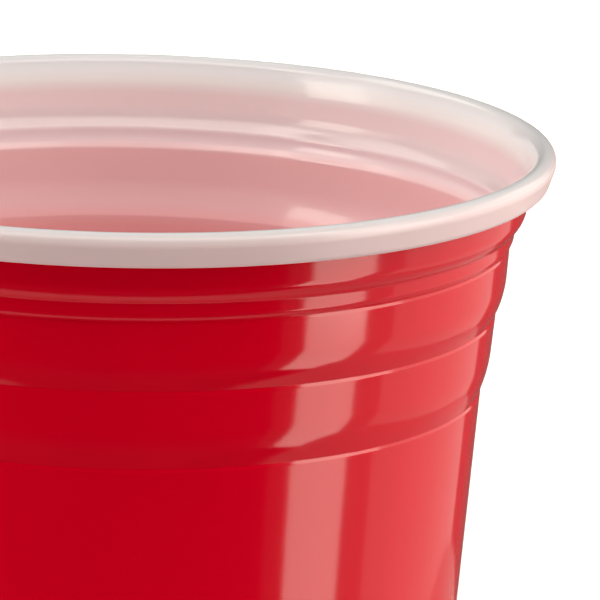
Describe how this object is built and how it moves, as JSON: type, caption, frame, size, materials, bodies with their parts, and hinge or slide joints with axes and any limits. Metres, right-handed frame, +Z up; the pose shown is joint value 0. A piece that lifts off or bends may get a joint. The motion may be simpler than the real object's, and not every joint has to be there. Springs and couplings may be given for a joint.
{
  "type": "plastic party cup",
  "caption": "Tapered plastic drinking cup with a hollow rolled rim, stepped rings below it, a plain straight wall and a raised base panel inside a flat foot ring.",
  "frame": {"origin": "centre of the foot, on the plane that the cup stands on", "axes": "+Z up along the cup's axis, towards the open mouth"},
  "size_m": [0.095, 0.095, 0.12],
  "materials": {
    "polystyrene": "glossy red outside, glossy white inside and over the rolled rim"
  },
  "bodies": {
    "root": {"cup": "polystyrene"}
  },
  "joints": []
}
